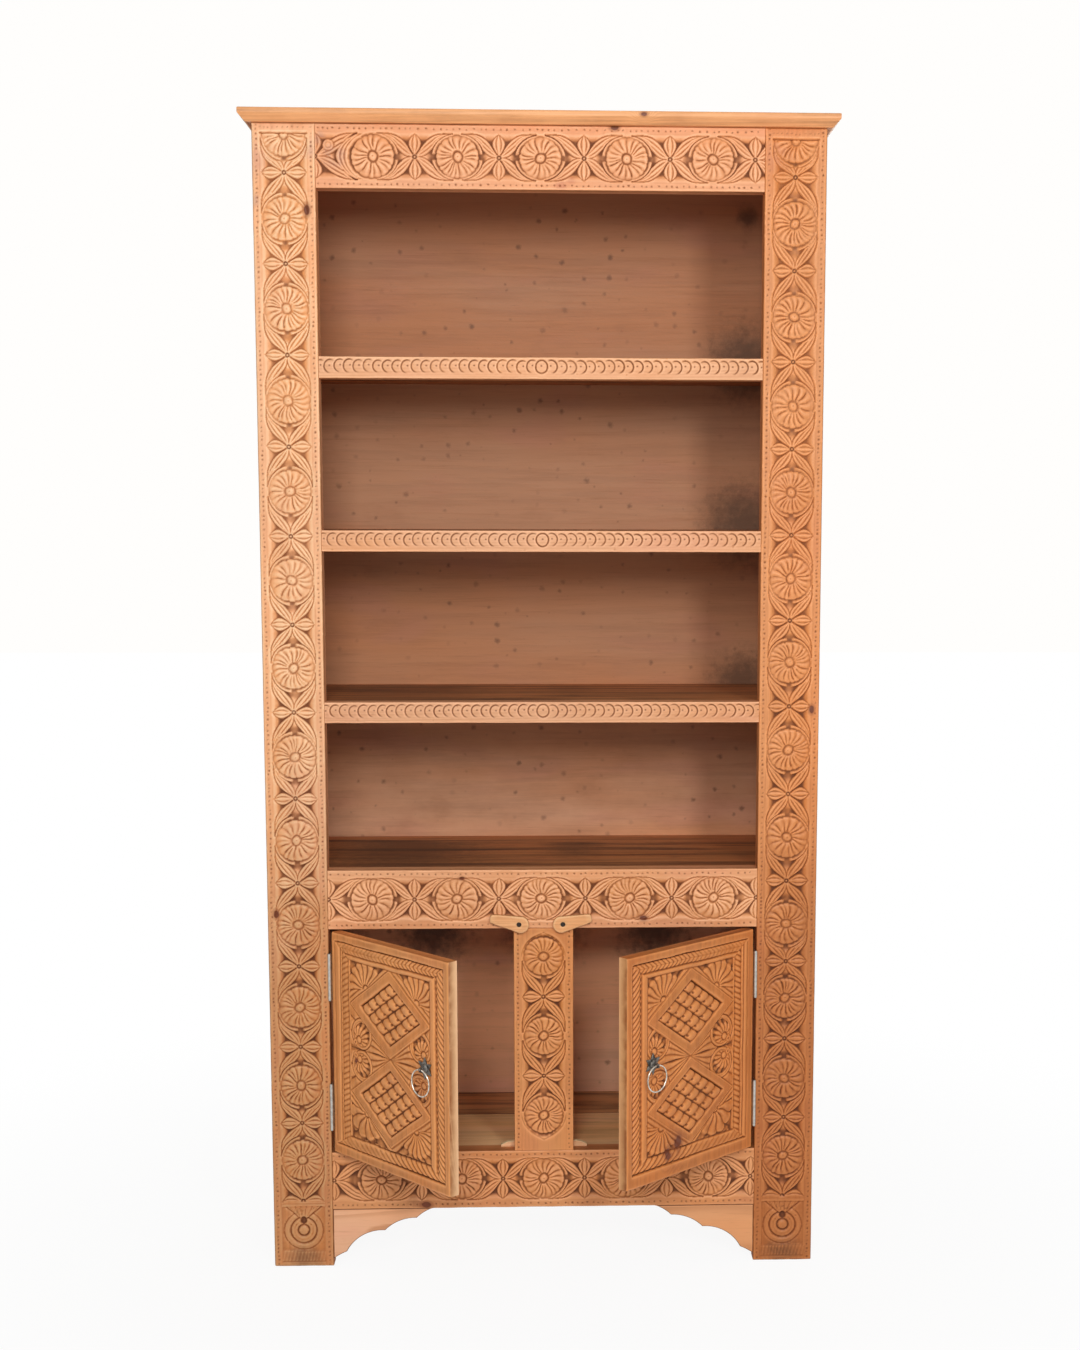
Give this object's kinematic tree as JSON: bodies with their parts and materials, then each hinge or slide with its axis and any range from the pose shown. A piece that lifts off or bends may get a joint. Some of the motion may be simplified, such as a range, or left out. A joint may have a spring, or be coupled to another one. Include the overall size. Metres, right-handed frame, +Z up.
{
  "type": "bookcase",
  "caption": "Tall free-standing wooden bookcase with a carved face frame, open shelves above a small cupboard with a pair of carved hinged doors, ring pulls and turn buttons.",
  "frame": {"origin": "on the floor, under the centre of the bounding box of the whole object with its doors ajar", "axes": "+Z up, +Y from the front of the bookcase to its back, +X to the right as seen from the front"},
  "size_m": [0.938, 0.5552, 1.873],
  "materials": {
    "carved_wood": "waxed, carved, worn",
    "plain_wood": "waxed",
    "inner_wood": "oiled, dull",
    "back_wood": "oiled, stained",
    "door_wood": "waxed, carved, worn",
    "button_wood": "bare, rubbed",
    "steel": "worn zinc",
    "iron": "dark, rubbed",
    "ring_metal": "polished by use"
  },
  "bodies": {
    "carcass": {"left_stile": "carved_wood", "right_stile": "carved_wood", "frieze_rail": "carved_wood", "mid_rail": "carved_wood", "bottom_rail": "carved_wood", "centre_post": "carved_wood", "left_bracket": "plain_wood", "right_bracket": "plain_wood", "left_side_panel": "plain_wood", "right_side_panel": "plain_wood", "back_panel": "back_wood", "deck_board": "inner_wood", "floor_plank_front": "plain_wood", "floor_plank_back": "inner_wood", "lower_shelf": "inner_wood", "middle_shelf": "inner_wood", "upper_shelf": "inner_wood", "lower_shelf_edge": "carved_wood", "middle_shelf_edge": "carved_wood", "upper_shelf_edge": "carved_wood", "top_board": "plain_wood", "cornice_front": "plain_wood", "cornice_left": "plain_wood", "cornice_right": "plain_wood", "left_upper_hinge_frame_leaf": "steel", "left_upper_hinge_pin": "steel", "left_lower_hinge_frame_leaf": "steel", "left_lower_hinge_pin": "steel", "right_upper_hinge_frame_leaf": "steel", "right_upper_hinge_pin": "steel", "right_lower_hinge_frame_leaf": "steel", "right_lower_hinge_pin": "steel", "left_frame_hinge_screws": "steel", "right_frame_hinge_screws": "steel", "left_button_screw": "iron", "right_button_screw": "iron", "left_door_stop": "button_wood", "right_door_stop": "button_wood", "back_panel_nails": "iron", "top_board_nails": "iron"},
    "left_door": {"left_door": "door_wood", "left_upper_hinge_door_leaf": "steel", "left_lower_hinge_door_leaf": "steel", "left_door_hinge_screws": "steel", "left_star_plate": "iron", "left_ring_eye": "iron"},
    "right_door": {"right_door": "door_wood", "right_upper_hinge_door_leaf": "steel", "right_lower_hinge_door_leaf": "steel", "right_door_hinge_screws": "steel", "right_star_plate": "iron", "right_ring_eye": "iron"},
    "left_ring": {"left_pull_ring": "ring_metal"},
    "right_ring": {"right_pull_ring": "ring_metal"},
    "left_button": {"left_turn_button": "button_wood"},
    "right_button": {"right_turn_button": "button_wood"}
  },
  "joints": [
    {"name": "left_door_swing", "type": "hinge", "parent": "carcass", "child": "left_door", "pos_m": [-0.3505, -0.06145, 0.385], "axis": [0, 0, -1], "range_deg": [-47, 133]},
    {"name": "right_door_swing", "type": "hinge", "parent": "carcass", "child": "right_door", "pos_m": [0.3505, -0.06145, 0.385], "axis": [0, 0, 1], "range_deg": [-43, 137]},
    {"name": "left_ring_swing", "type": "hinge", "parent": "left_door", "child": "left_ring", "pos_m": [-0.19084, -0.24278, 0.3926], "axis": [-0.682, 0.7314, 0], "range_deg": [-10, 190]},
    {"name": "right_ring_swing", "type": "hinge", "parent": "right_door", "child": "right_ring", "pos_m": [0.17858, -0.2312, 0.3926], "axis": [-0.7314, -0.682, 0], "range_deg": [-10, 190]},
    {"name": "left_button_turn", "type": "hinge", "parent": "carcass", "child": "left_button", "pos_m": [-0.04, -0.05835, 0.582], "axis": [0, -1, 0], "range_deg": [-77, 102]},
    {"name": "right_button_turn", "type": "hinge", "parent": "carcass", "child": "right_button", "pos_m": [0.032, -0.05835, 0.582], "axis": [0, 1, 0], "range_deg": [-77, 102]}
  ]
}
